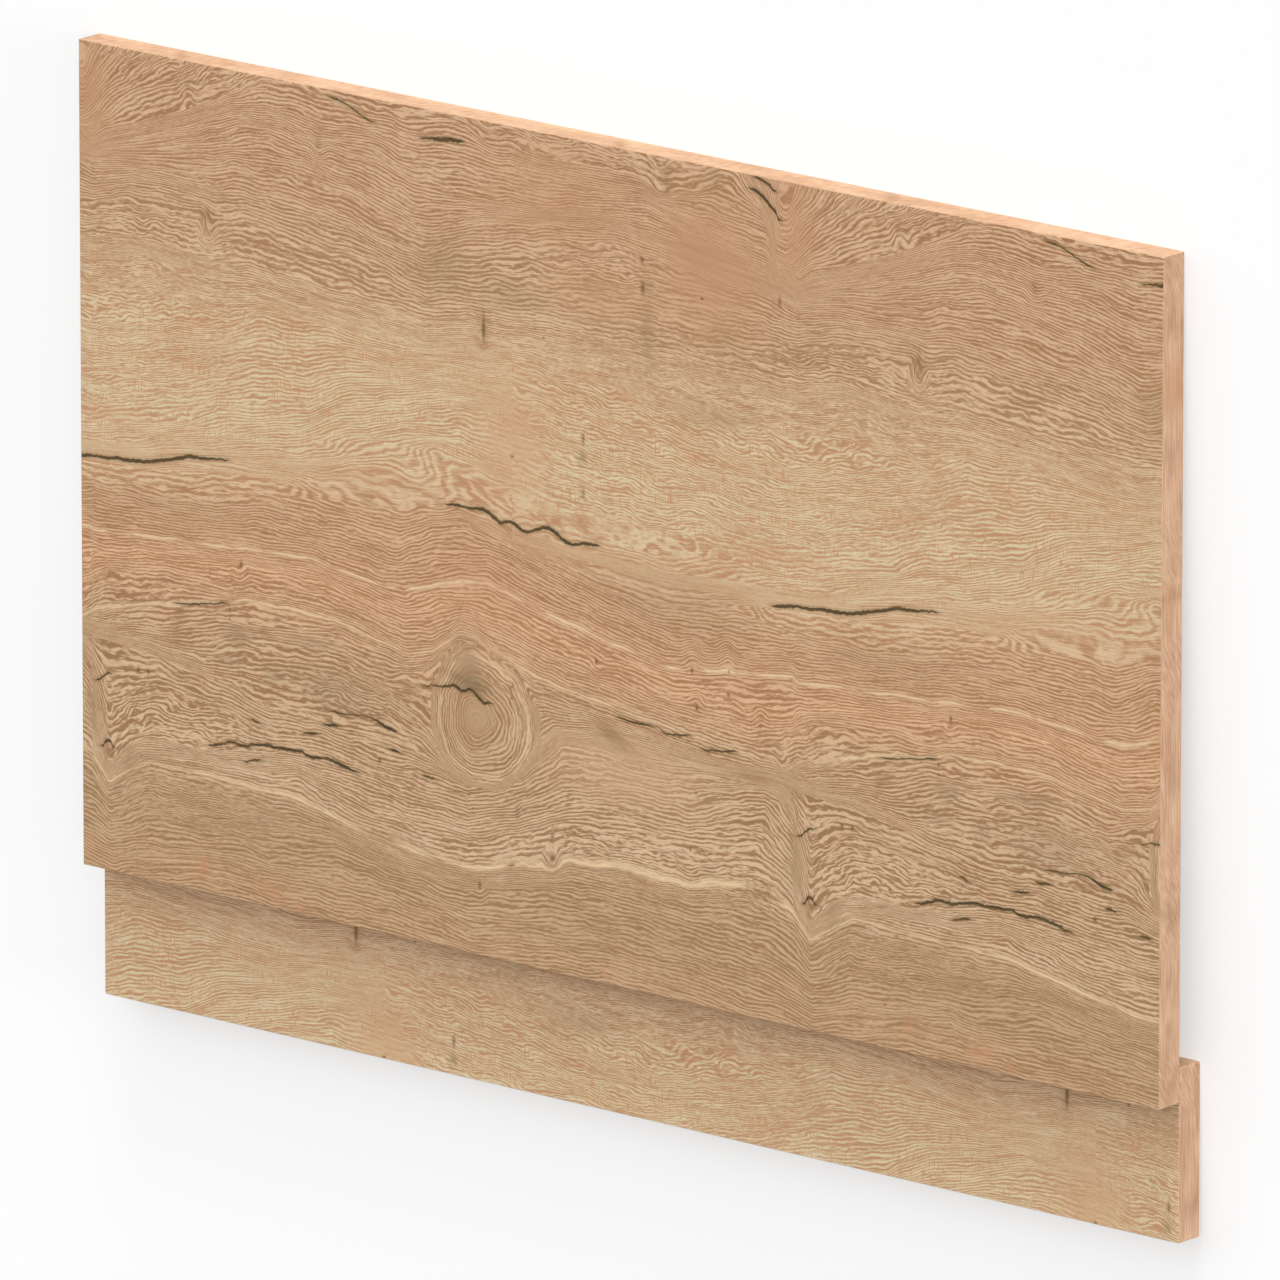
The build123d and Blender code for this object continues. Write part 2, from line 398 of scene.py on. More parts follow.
OLIVE, BROWN, RUST = (150, 126, 90), (150, 112, 78), (193, 140, 103)
GREY, HONEY = (146, 124, 98), (190, 143, 106)
STAIN_REACH, SPINDLE_REACH = 1.25, 1.6
# soft stains: middle U, V, half width, half height, lean in degrees, colour, strength
STAINS = [(288, 324, 22, 7, 8, (120, 104, 72), 0.75), (392, 337, 7, 15, -62, OLIVE, 0.5),
          (430, 11, 6, 12, 0, OLIVE, 0.5), (465, 5, 6, 9, 0, OLIVE, 0.45), (267, 86, 22, 20, 0, OLIVE, 0.4),
          (318, 97, 36, 12, 0, OLIVE, 0.35), (462, 142, 32, 12, 0, OLIVE, 0.28), (468, 95, 18, 16, 0, OLIVE, 0.25),
          (416, 100, 6, 30, 0, OLIVE, 0.5), (20, 213, 30, 6, 0, RUST, 0.35), (495, 212, 34, 7, 0, RUST, 0.35),
          (460, 58, 52, 56, 0, HONEY, 0.6), (318, 182, 38, 52, 0, (207, 162, 125), 0.45),
          (350, 34, 64, 36, 0, HONEY, 0.35), (380, 88, 56, 20, 0, HONEY, 0.35),
          (400, 357, 78, 24, 0, (212, 174, 139), 0.5),
          (8, 24, 18, 40, 0, HONEY, 0.5), (72, 327, 5, 13, 40, BROWN, 0.45), (392, 337, 20, 4, 20, BROWN, 0.45),
          (172, 321, 28, 5, 0, GREY, 0.45), (116, 326, 12, 9, 0, GREY, 0.45), (110, 342, 14, 5, 0, GREY, 0.35),
          (142, 345, 9, 9, 0, GREY, 0.4), (243, 337, 12, 4, -20, BROWN, 0.45), (286, 314, 12, 20, 0, GREY, 0.45),
          (8, 386, 7, 22, 0, OLIVE, 0.45), (36, 410, 8, 12, 0, OLIVE, 0.35), (19, 410, 4, 8, 0, BROWN, 0.7),
          (90, 466, 8, 8, 0, RUST, 0.5), (140, 470, 12, 7, 0, RUST, 0.5), (162, 476, 5, 5, 0, RUST, 0.5),
          (493, 342, 18, 5, 0, BROWN, 0.4), (190, 345, 46, 16, 0, GREY, 0.3), (288, 345, 30, 26, 0, BROWN, 0.25),
          (80, 262, 90, 22, 0, OLIVE, 0.15), (440, 255, 80, 24, 0, OLIVE, 0.2), (295, 265, 45, 30, 0, RUST, 0.25),
          (150, 440, 120, 26, 0, OLIVE, 0.15), (390, 448, 120, 24, 0, OLIVE, 0.15)]

# dark spindles and dots: middle U, V, half width, half height, strength
SPINDLES = [(297.5, 119, 1.6, 15, 0.9), (297.5, 121, 5, 24, 0.35), (412, 61, 1.3, 3.4, 0.8),
            (412.5, 77, 1.7, 6.5, 0.8), (95.5, 86.5, 2.6, 9, 0.6), (96, 88, 6, 14, 0.35),
            (177, 31, 3.5, 9, 0.35), (81, 13.5, 2.4, 6, 0.4), (369.5, 170, 1.4, 7, 0.7), (369, 181, 4, 8, 0.5),
            (369.5, 201, 1.8, 5.5, 0.6), (266, 199, 2, 4, 0.4), (119, 284.5, 1.3, 4, 0.8),
            (96, 293, 1.2, 2.4, 0.4), (110.5, 312, 1.1, 2.2, 0.7), (110.5, 317.5, 1, 1.6, 0.7),
            (42, 359, 1.3, 3.2, 0.8), (49.5, 358.5, 1.2, 2.6, 0.8), (317.5, 321, 1.4, 1.8, 0.8),
            (317.5, 327.5, 1.2, 1.6, 0.7), (379, 296, 1.3, 3.2, 0.8), (448, 289, 1.3, 3.2, 0.8),
            (474, 298.5, 1.3, 2.6, 0.8), (474.5, 285, 0.9, 2.2, 0.6), (451.5, 310, 1.3, 3.2, 0.8),
            (497, 312.5, 1.2, 2.6, 0.6), (451, 358.5, 1.2, 2.2, 0.6), (221, 380, 1.4, 3.2, 0.8),
            (321.5, 392, 2.4, 9, 0.45), (347, 402, 1.4, 2.8, 0.7), (347, 414, 1.8, 4, 0.8),
            (294, 439.5, 1.4, 3.8, 0.8), (447, 391.5, 1.3, 2.8, 0.7), (289, 396, 1, 1.5, 0.6),
            (455, 76, 1.4, 1.4, 0.9), (510.5, 69, 1.4, 5.5, 0.7), (341, 117, 1.2, 1.2, 0.8),
            (318, 188.5, 1.5, 1.5, 0.8), (73, 455.5, 1.2, 1.2, 0.7), (169, 193, 1.2, 1.2, 0.6)]

# cracks: the course in U and V with the share of its half width at each point. The half width runs on below
# nothing past both ends, so that a crack ends in a point.
CRACK_WIDTH, CRACK_LOW, CRACK_RANGE = 1.5, 4.0, 6.0
CRACK_BEFORE, CRACK_AFTER, CRACK_END = 6, 7, -2.8
# how many mm inside a crack's outline it and the stain round it begin, and where both are full
CRACK_SHOWS, STAIN_SHOWS, CRACK_FULL = -0.28, -2.2, 0.2
CRACKS = [
    [(-7, 242, .3), (0, 241, .7), (5, 240.3, .65), (10, 239.6, .5), (18, 239.5, .6), (25, 238.5, .6), (35, 238, .7),
     (42, 237.5, .65), (50, 236.5, .65), (56, 235, .75), (62, 233.5, .65), (68, 232, .65), (75, 230, .7),
     (81, 228.3, .75), (88, 227.8, .55), (93, 227.6, .5), (100, 226.6, .4), (108, 225.7, .25)],
    [(271, 223.8, .3), (276, 223.3, .45), (283, 223.2, .4), (288, 223.3, .5), (293, 222.6, .6),
     (300, 223.3, .75), (304, 225.5, .8), (307, 226.8, .9), (309, 228, .7), (313, 227, .6), (318, 226.3, .55),
     (321, 227.7, .7), (325, 229.3, .7), (328, 230, .6), (333, 228.5, .5), (338, 226.7, .7), (343, 225.3, .7),
     (347, 226, .7), (352, 228.5, .8), (357, 231, .7), (360, 231.7, .6), (366, 230.8, .5), (372, 229.5, .55),
     (378, 229, .5)],
    [(252, 17.5, .15), (258, 16.5, .3), (265, 16, .65), (272, 15, .75), (280, 14.5, .6)],
    [(186, 4.5, .2), (196, 6, .25), (205, 9.5, .25), (217, 13.5, .2)],
    [(490, 8, .4), (494, 9, .6), (498, 11, .7), (502, 14, .75), (505, 16.5, .75), (508, 19, .7),
     (509.5, 22, .6)],
    [(493, 1, .3), (499, 2.5, .45), (503, 4, .5), (507, 7, .3)],
    [(95.5, 393.5, .3), (100, 392.5, .5), (106, 390.5, .55), (112, 389, .5), (119, 389.5, .6),
     (126, 388, .55), (133, 386.7, .5), (138, 386, .55), (143, 386.4, .5), (150, 386, .65), (156, 385.8, .6),
     (163, 385.2, .5), (167, 387, .55), (172, 387.2, .6), (176, 386.8, .55), (180, 386.2, .5), (190, 387.5, .6),
     (197, 388.7, .55), (203, 390, .4)],
    [(121, 398.5, .2), (126, 397, .3), (132, 395.8, .3)],
    [(186, 358, .15), (200, 357.5, .2), (213, 356.5, .2), (222, 359, .5), (230, 361, .6)],
    [(70, 315, .15), (80, 314, .25), (88, 312.5, .25), (100, 310.5, .25), (107, 309, .25)],
    [(255, 331.5, .2), (260, 330, .25), (264, 330, .3), (270, 329, .5), (275, 327.5, .6),
     (278, 328.5, .65), (282, 329.5, .55), (287, 328, .5), (290, 329, .6), (293, 331, .75), (296, 333, .65),
     (298, 334, .5), (301, 333, .35)],
    [(396, 325, .25), (405, 326, .3), (415, 325.5, .3), (424, 325.8, .1), (428, 328, .25),
     (437, 328, .3), (445, 326.5, .25)],
    [(457, 333, .25), (463, 332, .3), (470, 331.5, .3), (478, 330, .3)],
    [(15, 408, .4), (17, 405, .6), (19, 404, .7), (21, 404.5, .6), (23, 407, .4)],
    [(11, 370, .25), (16, 367, .35), (20, 364.5, .35)],
    [(229, 372.5, .25), (235, 373, .25)],
    [(126, 373, .2), (132, 374.5, .25)],
    [(180, 366.5, .2), (190, 366, .25)],
    [(165, 374, .2), (174, 373.3, .3)],
    [(253, 383.5, .2), (260, 384, .25)],
]


def distance(finish, place, u, v, across, tall, lean=0):
    """How far a point lies from the middle of an oval on the decor: 1 at its edge."""
    if u > SEAM and place is finish.west:
        u -= REPEAT
    if lean:
        slant = lean * pi / 180
        rows = ((cos(slant) / across, sin(slant) / across), (-sin(slant) / tall, cos(slant) / tall))
        parts = [finish.node("ShaderNodeVectorMath", {"operation": "DOT_PRODUCT"},
                             {0: place, 1: (a, b, -(a * u + b * v))}, "Value") for a, b in rows]
        offset = finish.vector(parts[0], parts[1], 0.0)
    else:
        offset = finish.node("ShaderNodeVectorMath", {"operation": "MULTIPLY_ADD"},
                             {0: place, 1: (1 / across, 1 / tall, 0.0), 2: (-u / across, -v / tall, 0.0)})
    return finish.node("ShaderNodeVectorMath", {"operation": "LENGTH"}, {0: offset}, "Value")


def round_mask(finish, place, u, v, across, tall, force, lean=0):
    """The force in the middle of an oval on the decor, 0 at its edge."""
    return distance(finish, place, u, v, across, tall, lean).spread(1.0, 0.0, 0.0, force, smooth=True)


def gathered(finish, places, total):
    """The total and the masks of all the places."""
    for u, v, across, tall, force in places:
        total = total + round_mask(finish, near(finish, u), u, v, across, tall, force)
    return total


def in_east(u):
    """Whether a mark at U is read in the east copy."""
    return EAST_MARKS[0] < u < EAST_MARKS[1]


def near(finish, u):
    """The copy of the place whose seam is far from U."""
    return finish.east if in_east(u) else finish.west


def crack_masks(finish, down):
    """The open cracks, and the stained wood along them."""
    nearest = -9.0
    for course in CRACKS:
        (start_u, start_v, _), (end_u, end_v, _) = course[0], course[-1]
        course = [(start_u - CRACK_BEFORE, start_v, CRACK_END), *course,
                  (end_u + CRACK_AFTER, end_v, CRACK_END)]
        middle = (course[0][0] + course[-1][0]) / 2
        turned, shift = (finish.east_u, 0.0) if in_east(middle) else (finish.west_u, 0.0)
        if turned is finish.west_u and middle > SEAM:
            shift = REPEAT
        first, last = course[0][0] - shift, course[-1][0] - shift
        high, low = min(p[1] for p in course) - 2, max(p[1] for p in course) + 2
        span = low - high
        places = [((u - shift - first) / (last - first), v, w) for u, v, w in course]
        traces = [[(x, (v - high) / span) for x, v, w in places],
                  [(x, (w * CRACK_WIDTH + CRACK_LOW) / CRACK_RANGE) for x, v, w in places]]
        curves = finish.node("ShaderNodeRGBCurve", {"traces": traces}, {"Color": turned.spread(first, last)})
        course_v, width, _ = finish.parts(curves)
        off = abs(course_v.scaled(-span, down - high))
        inside = width.scaled(CRACK_RANGE, -CRACK_LOW) - off
        nearest = inside.most(nearest)
    return nearest.spread(CRACK_SHOWS, CRACK_FULL), nearest.spread(STAIN_SHOWS, CRACK_FULL)


def patches(finish, place, across, tall, rough=0.5, output=0):
    """Uneven patches of about these mm."""
    sized = finish.node("ShaderNodeVectorMath", {"operation": "MULTIPLY"},
                        {0: place, 1: (1 / across, 1 / tall, 0.0)})
    return finish.noise(sized, 2.0, rough, "2D", output)


def grain(finish, along, down, growth, length, width, output=0):
    """Marks that lie along the growth lines, of about these mm."""
    return finish.noise(finish.vector(along / length, down / length, growth / width), 1.0, 0.5, output=output)


def ramp(finish, share, stops):
    """A colour ramp over a share of 0 to 1."""
    return finish.node("ShaderNodeValToRGB", {"stops": stops}, {0: share})


def streaks(finish, along, across, lean, length, width, detail=2.0):
    """Short marks that lean from the way along an edge."""
    slant = lean * pi / 180
    lengthways = along * (cos(slant) / length) + across * (sin(slant) / length)
    sideways = across * (cos(slant) / width) - along * (sin(slant) / width)
    return finish.noise(finish.vector(lengthways, sideways, 0.0), detail, 0.5, "2D")


def less_sheen(finish, colour):
    """The colour less what the matt face's own sheen adds to it in this light."""
    return finish.blend(1.0, colour, SHEEN, "SUBTRACT")


def with_knot(finish, growth, down, drift):
    """The growth with the rings of the round knot let into it."""
    side, rise = finish.east_u - KNOT_U, down - KNOT_V
    side = side.most(0.0) / KNOT_RIGHT + side.least(0.0) / KNOT_LEFT
    rise = rise.most(0.0) / KNOT_BELOW + rise.least(0.0) / KNOT_ABOVE
    ring = (side * side + rise * rise).root()
    ring = ring + (drift - 0.5) * KNOT_WANDER
    in_knot = ring.spread(1.06, 0.94)
    return growth + (ring * KNOT_RINGS + KNOT_HEART - growth) * in_knot


def fine_lines(finish, along, down, growth, zone, patchy):
    """Nearly even rings and the grain between them, about 0, with two more noises of the same marks."""
    line, hue, speck = finish.parts(grain(finish, along, down, growth, 22, 0.7, "Color"))
    finer = grain(finish, along, down, growth, 20, 0.36)
    coarser = grain(finish, along, down, growth, 22, 1.5)
    wide = gathered(finish, WIDE, 0.0).held()
    tight = gathered(finish, CLOSE, 0.0).held()
    line = line + (finer - line) * wide
    line = line + (coarser - line) * tight
    ring_gap = zone.spread(112.0, 135.0, RING_GAP, PALE_RING_GAP)
    ring_gap = ring_gap + zone.spread(205.0, 245.0, 0.0, LOW_RING_GAP)
    turns = growth / ring_gap + patchy * 2.2
    ring_wave = (turns * (2 * pi)).sine()
    ring_wave = ring_wave + ((turns * (4 * pi)).sine() - ring_wave) * wide
    ring_wave = ring_wave + ((turns * pi).sine() - ring_wave) * tight
    dashes = grain(finish, along, down, growth, 4.2, 0.38)
    line = (line - 0.5) * 0.72 + ring_wave * (speck * 0.34 - 0.03) + (dashes - 0.5) * 0.62
    return line, hue, speck


def oak_decor():
    """The printed oak as a group: U and V in mm give a colour."""
    tree = bpy.data.node_groups.new("oak decor", "ShaderNodeTree")
    for name in ("U", "V"):
        tree.interface.new_socket(name, in_out="INPUT", socket_type="NodeSocketFloat")
    tree.interface.new_socket("Color", in_out="OUTPUT", socket_type="NodeSocketColor")
    finish = Finish(tree)
    entry = finish.node("NodeGroupInput", output=None)
    along, down = Wire(finish, entry.outputs[0]), Wire(finish, entry.outputs[1])
    finish.west_u = along.wrapped(SEAM - REPEAT, SEAM)
    finish.east_u = along.wrapped(EAST_START, EAST_START + REPEAT)
    finish.west = finish.vector(finish.west_u, down, 1.0)
    finish.east = finish.vector(finish.east_u, down, 1.0)
    sheet = finish.vector(along, down, 0.0)

    # the growth lines, bent round the spindles and the knot and made uneven
    zone = growth_field(finish, down, BANDS)
    growth = gathered(finish, BENDS, growth_field(finish, down, GROWTH, GROWTH_ABOVE))
    wave, drift, patchy = finish.parts(patches(finish, sheet, 26, 16, output="Color"))
    growth = growth + (wave - 0.5) * WANDER
    growth = with_knot(finish, growth, down, drift)

    # dark and light wood, shared out by the lines
    line, hue, speck = fine_lines(finish, along, down, growth, zone, patchy)
    broad = finish.noise(finish.vector(along / 70, down / 60, growth / 9), 2.0, 0.5)
    strength = finish.parts(ramp(finish, down / SHEET, [(v / SHEET, (g, g, g, 1)) for v, g in STRENGTH]))[0]
    strength = gathered(finish, CALM, strength).most(LEAST_STRENGTH)
    share = (line * strength * LINE_CONTRAST + (broad - 0.5) * BROAD_CONTRAST + 0.5).held()
    zone_share = (zone + (wave - 0.5) * BAND_WANDER) / GROWTH_DEPTH
    dark, pale = (ramp(finish, zone_share, [(g / GROWTH_DEPTH, c) for g, c in wood])
                  for wood in (DARK_WOOD, LIGHT_WOOD))
    colour = finish.blend(share, dark, pale)

    # long cream lines, each at one depth of growth
    for depth, half, force in CREAM:
        cream = (1.0 - abs(growth - depth) / half).most(0.0) * (patchy.spread(0.3, 0.5) * force)
        colour = finish.blend(cream, colour, tint(CREAM_WOOD))

    # upright flecks where the sheet is cut through the rays, and slanting ones among the lines
    rays = finish.noise(finish.vector(along / 0.9, down / 9, 0.0), 1.0, 0.5, "2D")
    rays = rays.spread(0.58, 0.72) * (drift.spread(0.45, 0.62) * 0.8 + 0.2)
    rays = rays * (zone.spread(118.0, 140.0) - zone.spread(200.0, 225.0) + down.spread(450.0, 468.0) * 0.8)
    colour = finish.blend(rays * 0.9, colour, tint(FLECK))
    slants = streaks(finish, along, down, 24.0, 9.0, 0.85, 1.0).spread(0.63, 0.78)
    colour = finish.blend(slants * (speck.spread(0.4, 0.6) * strength * 0.55), colour, tint(SLANT))

    # stains, with their outlines pushed about, then spindles where they stand
    smear = patches(finish, sheet, 14, 7, output="Color")
    push = finish.node("ShaderNodeVectorMath", {"operation": "MULTIPLY_ADD"},
                       {0: smear, 1: (9.0, 5.0, 0.0), 2: (-4.5, -2.5, 0.0)})
    straight = finish.west, finish.east
    finish.west, finish.east = (finish.node("ShaderNodeVectorMath", {"operation": "ADD"}, {0: place, 1: push})
                                for place in straight)
    for u, v, across, tall, lean, tone, force in STAINS:
        mask = round_mask(finish, near(finish, u), u, v, across * STAIN_REACH, tall * STAIN_REACH, force, lean)
        colour = finish.blend(mask, colour, tint(tone))
    finish.west, finish.east = straight
    spots = -1.0
    for u, v, across, tall, force in SPINDLES:
        spot = distance(finish, near(finish, u), u, v, across * SPINDLE_REACH, tall).scaled(-force, force)
        spots = spot.most(spots)
    colour = finish.blend(spots.spread(0.0, 0.9, 0.0, 0.9, smooth=True), colour, tint(SPINDLE))

    # cracks, and a rusty bloom over all
    jag = patches(finish, sheet, 3.2, 9, rough=0.6)
    opened, stained = crack_masks(finish, down + (jag - 0.5) * 1.6)
    colour = finish.blend(stained * 0.4, colour, tint(CRACK_STAIN))
    colour = finish.blend(opened * 0.92, colour, tint(CRACK_DARK))
    colour = finish.blend((hue - 0.5).spread(0.0, 0.35) * 0.35, colour, tint(RUST))
    finish.node("NodeGroupOutput", None, {0: less_sheen(finish, colour)}, None)
    return tree


# ---- finishes
EMBOSS_DEPTH, ZINC_DEPTH = 0.1, 0.02
# stains on the edge strips: middle along and across, half length, half width, tone, strength
LONG_STAINS = [(70, 8, 7, 16, BROWN, 0.55), (389, 9, 6, 16, BROWN, 0.5), (190, 1, 5, 2.5, OLIVE, 0.5),
               (150, 12, 30, 9, RUST, 0.3)]
END_STAINS = [(192, 9, 9, 14, BROWN, 0.45), (192, 1, 2, 2.5, OLIVE, 0.9), (371, 9, 12, 16, GREY, 0.35),
              (75, 9, 20, 14, HONEY, 0.5), (30, 7, 22, 5, BROWN, 0.25), (112, 6, 18, 8, BROWN, 0.25),
              (436, 8, 9, 5, BROWN, 0.4), (467, 11, 7, 5, BROWN, 0.35)]
LONG_STAIN_LEAN = 40


def board_place(finish):
    """Where a point lies on the board: mm from the left end, above the foot and behind the face."""
    place = finish.node("ShaderNodeTexCoord", output="Object")
    split = finish.node("ShaderNodeSeparateXYZ", None, {0: place}, None)
    x, y, z = (Wire(finish, split.outputs[i]) * 1000 for i in range(3))
    y, z = y - FACE_Y, z - FACE_Z
    return x + BOARD_WIDTH / 2, y * LEVEL - z * LEAN, -(y * LEAN) - z * LEVEL


def melamine(name):
    """An empty matt finish, with its shader."""
    made = bpy.data.materials.new(name)
    made.use_nodes = True
    made.node_tree.nodes.clear()
    finish = Finish(made.node_tree)
    shader = finish.node("ShaderNodeBsdfPrincipled", None,
                         {"Roughness": 0.5, "Specular IOR Level": 0.4}, None)
    finish.node("ShaderNodeOutputMaterial", None, {0: Wire(finish, shader.outputs[0])}, None)
    return made, finish, shader


def emboss(finish, shader, relief, depth):
    """Lets a relief of some mm show in the light."""
    bump = finish.node("ShaderNodeBump", None, {"Strength": 0.35, "Distance": depth / 1000, "Height": relief},
                       "Normal")
    finish.tree.links.new(bump.socket, shader.inputs["Normal"])


def decor_face(name, decor, slide, top, painted_light):
    """A face with the oak decor on it, which begins at U slide and has V 0 at the height top."""
    made, finish, shader = melamine(name)
    along, height, depth = board_place(finish)
    oak = finish.node("ShaderNodeGroup", {"node_tree": decor}, {0: along + slide, 1: top - height}, None)
    # painted light: the decor is multiplied lighter by this factor, which brightens the plinth's face below the
    # panel's overhang
    oak = finish.blend(1.0, Wire(finish, oak.outputs[0]), (painted_light, painted_light, painted_light, 1), "MULTIPLY")
    finish.tree.links.new(oak.socket, shader.inputs["Base Color"])
    pores = finish.noise(finish.vector(along / 9, (top - height) / 0.8, 0.0), 2.0, 0.6, "2D")
    emboss(finish, shader, pores, EMBOSS_DEPTH)
    return made


def long_edge(name):
    """The edge strip along the top and the foot: short leaning marks on a peach oak."""
    made, finish, shader = melamine(name)
    along, height, depth = board_place(finish)
    marks = streaks(finish, along, depth, 50.0, 7.0, 1.0)
    broad = finish.noise(finish.vector(along / 38, depth / 16, height / 300), 2.0, 0.5)
    share = ((marks - 0.5) * 2.6 + (broad - 0.5) * 1.6 + 0.55).held()
    colour = finish.blend(share, tint((176, 134, 103)), tint((206, 171, 139)))
    turned = along.wrapped(0.0, REPEAT)
    place = finish.vector(turned, depth, 1.0)
    for u, d, across, deep, tone, force in LONG_STAINS:
        mask = round_mask(finish, place, u, d, across, deep, force, LONG_STAIN_LEAN)
        colour = finish.blend(mask, colour, tint(tone))
    mask = round_mask(finish, place, 345, 16, 110, 12, 0.5)
    colour = finish.blend(mask, colour, tint((211, 178, 144)))
    finish.tree.links.new(less_sheen(finish, colour).socket, shader.inputs["Base Color"])
    emboss(finish, shader, share, EMBOSS_DEPTH)
    return made


def end_edge(name, top):
    """The edge strip up each end: upright streaks, flecks and smooth stretches."""
    made, finish, shader = melamine(name)
    along, height, depth = board_place(finish)
    down = top - height
    leaning = streaks(finish, down, depth, 24.0, 9.0, 0.9)
    upright = streaks(finish, down, depth, 2.0, 22.0, 1.0)
    broad = finish.noise(finish.vector(down / 30, depth / 12, along / 400), 2.0, 0.5)
    kind = finish.noise(finish.vector(down / 70, 0.3, 0.0), 1.0, 0.5, "2D").spread(0.42, 0.58, smooth=True)
    marks = upright + (leaning - upright) * kind
    share = ((marks - 0.5) * 2.2 + (broad - 0.5) * 1.6 + 0.5).held()
    colour = finish.blend(share, tint((173, 135, 108)), tint((204, 169, 140)))
    place = finish.vector(down, depth, 1.0)
    for v, d, tall, deep, tone, force in END_STAINS:
        mask = round_mask(finish, place, v, d, tall, deep, force)
        colour = finish.blend(mask, colour, tint(tone))
    finish.tree.links.new(less_sheen(finish, colour).socket, shader.inputs["Base Color"])
    emboss(finish, shader, share, EMBOSS_DEPTH)
    return made


def zinc(name):
    """Bright zinc on the screws, turned and a little dulled."""
    made, finish, shader = melamine(name)
    place = finish.node("ShaderNodeTexCoord", output="Object")
    cloud = finish.noise(finish.node("ShaderNodeVectorMath", {"operation": "SCALE"}, {0: place, "Scale": 900.0}),
                         3.0, 0.6)
    colour = finish.blend(cloud.spread(0.3, 0.7), (0.46, 0.45, 0.42, 1), (0.66, 0.65, 0.62, 1))
    finish.tree.links.new(colour.socket, shader.inputs["Base Color"])
    finish.tree.links.new(cloud.spread(0.3, 0.7, 0.22, 0.42).socket, shader.inputs["Roughness"])
    shader.inputs["Metallic"].default_value = 1.0
    emboss(finish, shader, cloud, ZINC_DEPTH)
    return made


decor = oak_decor()
long_strip = long_edge("oak edge strip along")
# each board: where its piece of the sheet begins, the height of the sheet's top, how much lighter its decor is
# painted (painted light on the plinth, below the panel's overhang), and the height of the board's own top
for name, slide, top, painted_light, board_top in (("panel", 0.0, TOTAL_HEIGHT, 1.0, TOTAL_HEIGHT),
                                             ("plinth", 110.0, 189.5, 1.06, PLINTH_HEIGHT)):
    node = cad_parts[name + "_board"]
    finishes = [decor_face("oak on the " + name, decor, slide, top, painted_light), long_strip,
                end_edge("oak edge strip up the " + name, board_top)]
    node.data.materials.clear()
    for made in finishes:
        node.data.materials.append(made)
    for face in node.data.polygons:
        outward = face.normal
        ways = (abs(outward.y * LEAN + outward.z * LEVEL), abs(outward.y * LEVEL - outward.z * LEAN),
                abs(outward.x))
        face.material_index = ways.index(max(ways))
screw_zinc = zinc("zinc on the screws")
for name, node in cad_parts.items():
    if name.startswith("plinth_screw"):
        node.data.materials.clear()
        node.data.materials.append(screw_zinc)

# ---- floor, light and camera
FLOOR_SIZE, FLOOR_GLOW, SUN_ANGLE = 60, 0.5, 0.3
bpy.ops.object.select_all(action="DESELECT")
bpy.ops.mesh.primitive_plane_add(size=FLOOR_SIZE, location=(0, 0, 0))
floor = bpy.context.object
floor.name = "floor"
floor_paint = bpy.data.materials.new("white floor")
floor_paint.use_nodes = True
floor_paint.node_tree.nodes.clear()
finish = Finish(floor_paint.node_tree)
seen = finish.node("ShaderNodeLightPath", output="Is Camera Ray")
lit = finish.node("ShaderNodeBsdfDiffuse", None, {
    "Color": finish.blend(seen, (0.8, 0.8, 0.8, 1), (1, 1, 1, 1))})
glow = finish.node("ShaderNodeEmission", None, {"Color": (1, 1, 1, 1), "Strength": 1.0})
mixed = finish.node("ShaderNodeMixShader", None, {0: seen * FLOOR_GLOW, 1: lit, 2: glow})
finish.node("ShaderNodeOutputMaterial", None, {0: mixed}, None)
floor.data.materials.append(floor_paint)

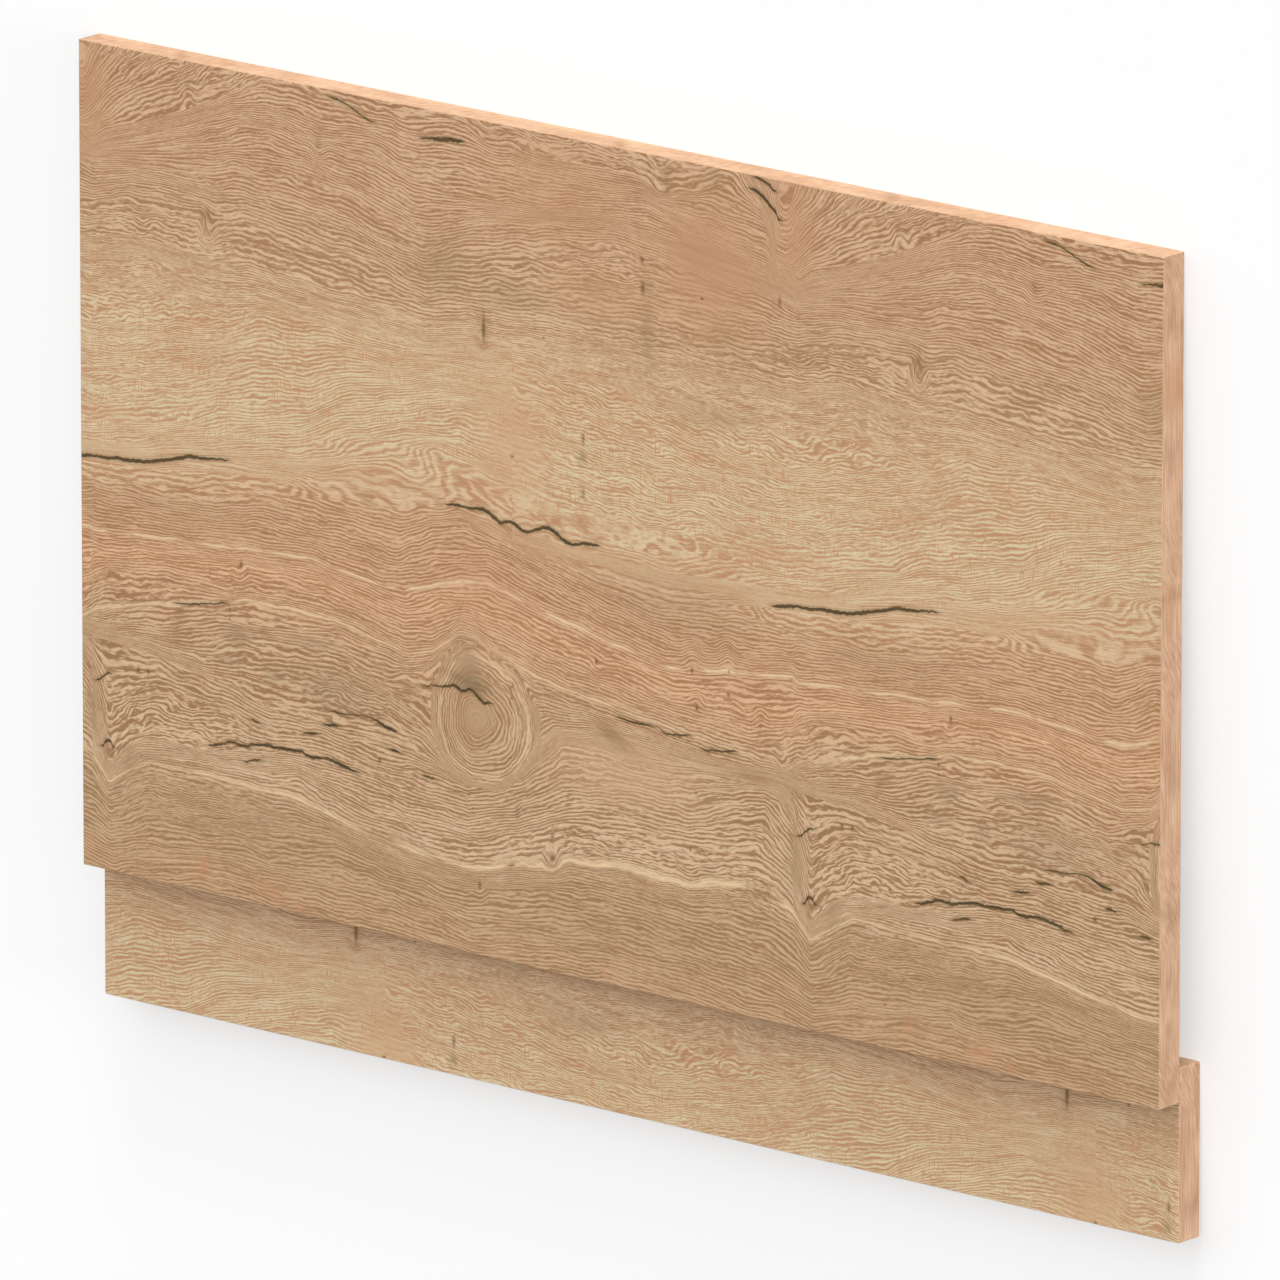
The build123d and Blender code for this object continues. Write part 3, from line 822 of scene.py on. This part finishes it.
# the sky is plain white where it is seen or mirrored, and lights the object mostly from beyond its top edge
SKY_LEAST, SKY_RISE, SKY_STEEPNESS = 0.38, 0.92, 3.0
world = bpy.data.worlds.new("studio")
bpy.context.scene.world = world
world.use_nodes = True
world.node_tree.nodes.clear()
sky = Finish(world.node_tree)
path = sky.node("ShaderNodeLightPath", output=None)
mirror = Wire(sky, path.outputs["Is Camera Ray"]).most(Wire(sky, path.outputs["Is Glossy Ray"]))
mirror = mirror.most(Wire(sky, path.outputs["Is Transmission Ray"]))
way = sky.node("ShaderNodeTexCoord", output="Generated")
split = sky.node("ShaderNodeSeparateXYZ", None, {0: way}, None)
toward_top = Wire(sky, split.outputs[1])
strength = (toward_top * SKY_STEEPNESS + 0.5).held() * SKY_RISE + SKY_LEAST
strength = strength * (1 - mirror) + mirror
background = sky.node("ShaderNodeBackground", None, {"Color": (1, 1, 1, 1), "Strength": strength})
sky.node("ShaderNodeOutputWorld", None, {0: background}, None)

for name, strength, toward in (("lamp beyond the top edge", 2.5, (0.1, 0.99, 0.11)),
                               ("lamp beyond the right end", 1.5, (0.99, 0.1, 0.11))):
    lamp = bpy.data.lights.new(name, "SUN")
    lamp.energy, lamp.angle = strength, SUN_ANGLE
    hung = bpy.data.objects.new(name, lamp)
    hung.rotation_mode = "QUATERNION"
    hung.rotation_quaternion = Vector(toward).to_track_quat("Z", "Y")
    bpy.context.scene.collection.objects.link(hung)

# the camera beside the standing panel: its place in mm, and its right, up and forward ways
CAMERA_PLACE = (8531.40, 3840.89, -10158.15)
CAMERA_RIGHT, CAMERA_UP = (0.766508, 0.642234, 0.00007), (-0.166618, 0.198754, 0.965782)
CAMERA_FORWARD = (-0.620244, 0.740292, -0.259355)
CAMERA_LENS, CAMERA_SENSOR = 697.94, 36.0
eye = bpy.data.cameras.new("camera")
eye.lens, eye.sensor_width = CAMERA_LENS, CAMERA_SENSOR
camera = bpy.data.objects.new("camera", eye)
bpy.context.scene.collection.objects.link(camera)
right, up, forward = (laid_way(*way) for way in (CAMERA_RIGHT, CAMERA_UP, CAMERA_FORWARD))
turn = Matrix((right, up, -forward)).transposed().to_4x4()
camera.matrix_world = Matrix.Translation(laid(*CAMERA_PLACE)) @ turn
bpy.context.scene.camera = camera
bpy.context.scene.view_settings.view_transform = "Standard"
